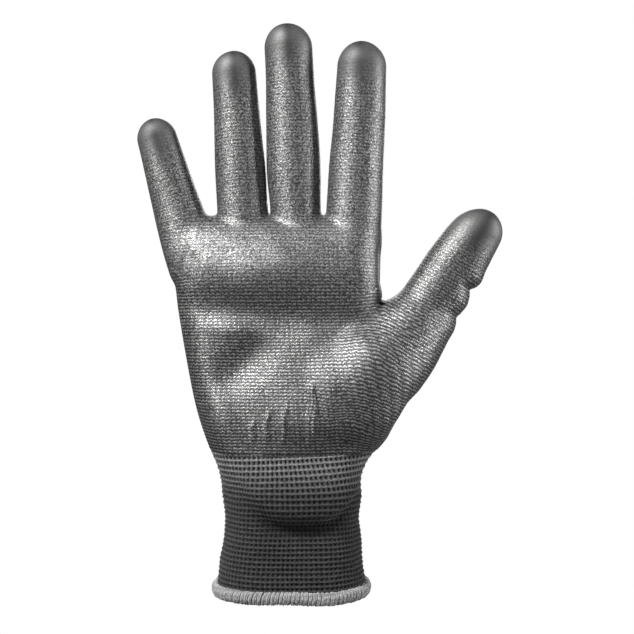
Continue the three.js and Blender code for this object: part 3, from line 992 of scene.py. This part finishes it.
def hem_ring(t):
    """The hem's middle line, and the directions out of it, at shares t of the way round."""
    spokes = around_cuff(OUTLINE_POINTS)
    outline = cuff_outline(spokes, np.array([HEM_MIDDLE]))[0]
    at = (t % 1) * OUTLINE_POINTS
    places = np.arange(OUTLINE_POINTS + 1)

    def around(values):
        return np.stack([np.interp(at, places, np.append(row, row[0])) for row in values.T], 1)

    out = np.concatenate([around(spokes), np.zeros((len(t), 1))], 1)
    middle = around(outline)
    middle[:, 2] += 0.22 * np.sin(TAU * 3 * t + 1) + 0.12 * np.sin(TAU * 7 * t)
    return middle + out * (0.05 + 0.15 * np.sin(TAU * 5 * t))[:, None], out


def thread_mesh(name, path, radius, sides, twist, closed):
    """A thread along a path, twisted by that many turns from each point to the next."""
    points, faces = tube(path, radius, sides, closed)
    mesh = new_mesh(name, points.tolist(), faces.tolist())
    store(mesh, "rest", points)
    steps = np.arange(len(path))
    store(mesh, "ply", np.repeat(steps * twist, sides) + np.tile(np.arange(sides) / sides, len(path)))
    return mesh


def make_hem(material):
    steps, sides = 480, 16
    t = np.repeat(np.arange(steps) / steps, sides)
    turn = np.tile(np.arange(sides) / sides * TAU, steps)
    middle, out = hem_ring(t)
    up = np.array([0.0, 0.0, 1.0])
    swell = 1 + 0.05 * np.sin(TAU * 23 * t) + 0.04 * np.sin(TAU * 41 * t + 2)
    core = (middle + out * (np.cos(turn) * (HEM_HALF_THICK - HEM_FILL) * swell)[:, None]
            + up * (np.sin(turn) * (HEM_HALF_HEIGHT - HEM_FILL) * swell)[:, None])
    mesh = new_mesh("hem_core", core.tolist(), tube_faces(steps, sides, closed=True).tolist())
    store(mesh, "rest", core)
    store(mesh, "ply", t * 400)
    core_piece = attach(add_piece("hem_core", mesh, material), "cuff")

    for lay, (name, turns, lean, radius, raised) in enumerate(HEM_LAYS):
        samples = turns * THREAD_SAMPLES
        t = np.arange(samples) / samples
        turn = TAU * turns * t + TAU * lean
        t = t + 0.0012 * np.sin(turn + lay) + 0.0006 * np.sin(TAU * 61 * t)
        middle, out = hem_ring(t)
        wide = HEM_HALF_THICK - radius + raised
        high = HEM_HALF_HEIGHT - radius + raised
        loose = 1 + 0.035 * np.sin(TAU * 37 * t + lay) + 0.03 * np.sin(TAU * 89 * t)
        path = (middle + out * (np.cos(turn) * wide * loose)[:, None]
                + up * (np.sin(turn) * high * loose)[:, None])
        mesh = thread_mesh(name, path, radius, THREAD_SIDES, 0.22, closed=True)
        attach(add_piece(name, mesh, material), "cuff")
    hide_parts("hem_binding")


ELASTIC_TURNS = 8
ELASTIC_SAMPLES = 72  # in a turn
ELASTIC_LEVELS = 24  # at which the wall that it lies against is measured
ELASTIC_INSET = 1.85
ELASTIC_RADIUS = 0.45


def make_elastic(material):
    low, high = (corner[2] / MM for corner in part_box("band_elastic"))
    t = np.linspace(0, 1, ELASTIC_TURNS * ELASTIC_SAMPLES + 1)
    spokes = around_cuff(OUTLINE_POINTS)
    z = low + 0.5 + (high - low - 1) * t
    walls = cuff_outline(spokes, np.linspace(low, high, ELASTIC_LEVELS))
    level = (z - low) / (high - low) * (ELASTIC_LEVELS - 1)
    i = np.clip(level.astype(int), 0, ELASTIC_LEVELS - 2)
    j = (t * ELASTIC_TURNS * OUTLINE_POINTS).astype(int) % OUTLINE_POINTS
    share = (level - i)[:, None]
    wall = walls[i, j] * (1 - share) + walls[i + 1, j] * share
    out = np.concatenate([spokes, np.zeros((OUTLINE_POINTS, 1))], 1)[j]
    wall = wall + out * (cuff_shape(wall)[:, None] - ELASTIC_INSET)
    wall[:, 2] = z
    mesh = thread_mesh("elastic_yarn", wall, ELASTIC_RADIUS, 8, 0.3, closed=False)
    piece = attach(add_piece("elastic_yarn", mesh, material), "cuff")
    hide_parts("band_elastic")


# ---- Studio ----------------------------------------------------------------------------
VIEW_CENTRE = (10.6, 0.0, 117.4)
VIEW_WIDTH = 269.45  # the picture's width at the glove
VIEW_DISTANCE = 500.0
LIGHT_TARGET = np.array([0.0, 0.0, 0.12])  # in metres, as the lights are
# Name, place and size in metres, power in watts.
SOFTBOXES = [
    ("left_box", (-0.62, -0.60, 0.24), (0.18, 0.6), 5.1),
    ("right_box", (0.85, -0.12, 0.24), (0.16, 0.8), 9.0),
    ("high_box", (-0.48, -0.52, 0.86), (0.24, 0.3), 18.5),
    ("low_box", (-0.15, -0.60, -0.30), (0.3, 0.2), 1.7),
    ("back_box", (0.1, 0.80, 0.40), (0.6, 0.5), 4.0),
]


def make_camera():
    camera = bpy.data.cameras.new("camera")
    camera.sensor_width = 36
    camera.lens = camera.sensor_width * VIEW_DISTANCE / VIEW_WIDTH
    camera.clip_start = 0.01
    holder = bpy.data.objects.new("camera", camera)
    x, y, z = VIEW_CENTRE
    holder.location = (x * MM, (y - VIEW_DISTANCE) * MM, z * MM)
    holder.rotation_euler = (math.pi / 2, 0, 0)
    bpy.context.scene.collection.objects.link(holder)
    bpy.context.scene.camera = holder


def softbox(name, place, size, power):
    """A rectangular area light at place, in metres, that faces the glove."""
    light = bpy.data.lights.new(name, "AREA")
    light.shape = "RECTANGLE"
    light.size, light.size_y = size
    light.energy = power
    holder = bpy.data.objects.new(name, light)
    holder.location = place
    away = np.array(place) - LIGHT_TARGET
    flat = math.hypot(away[0], away[1])
    holder.rotation_euler = (math.atan2(flat, away[2]), 0, math.atan2(away[0], -away[1]))
    bpy.context.scene.collection.objects.link(holder)


def make_studio():
    world = bpy.data.worlds.new("studio")
    bpy.context.scene.world = world
    world.use_nodes = True
    tree = world.node_tree
    shade = tree.nodes["Background"]
    shade.inputs["Color"].default_value = (1, 1, 1, 1)
    shade.inputs["Strength"].default_value = 0.05
    shown = tree.nodes.new("ShaderNodeBackground")
    shown.inputs["Color"].default_value = (1, 1, 1, 1)
    shown.inputs["Strength"].default_value = 1.0
    path = tree.nodes.new("ShaderNodeLightPath")
    choice = tree.nodes.new("ShaderNodeMixShader")
    tree.links.new(path.outputs["Is Camera Ray"], choice.inputs[0])
    tree.links.new(shade.outputs[0], choice.inputs[1])
    tree.links.new(shown.outputs[0], choice.inputs[2])
    tree.links.new(choice.outputs[0], tree.nodes["World Output"].inputs["Surface"])

    for name, place, size, power in SOFTBOXES:
        softbox(name, place, size, power)

    bpy.ops.mesh.primitive_plane_add(size=8, location=(0, 0, -0.16))
    floor = bpy.context.object
    floor.name = "floor"
    paint = Nodes("floor")
    seen = paint.add("ShaderNodeEmission", {"Color": grey(1.0), "Strength": 1.0})
    share = paint.add("ShaderNodeLightPath").outputs["Is Camera Ray"]
    shader = paint.add("ShaderNodeMixShader", {0: share, 1: paint.shader.outputs[0], 2: seen.outputs[0]})
    paint.set(paint.tree.nodes["Material Output"].inputs["Surface"], shader.outputs[0])
    floor.data.materials.append(paint.finish(Base_Color=grey(0.12), Roughness=0.9))


bpy.context.scene.view_settings.view_transform = "Standard"
make_camera()
make_studio()
knit = knit_material("knit", 0.002, 0.1)
cuff_material = knit_material("cuff_knit", 0.001, 0.078, 0.01)
hem_thread = thread_material("hem_thread", 0.015, 0.42)
elastic_thread = thread_material("elastic_thread", 0.02, 0.07)
make_hand(knit, film_material())
make_cuff(cuff_material)
make_hem(hem_thread)
make_elastic(elastic_thread)

bpy.context.view_layer.update()
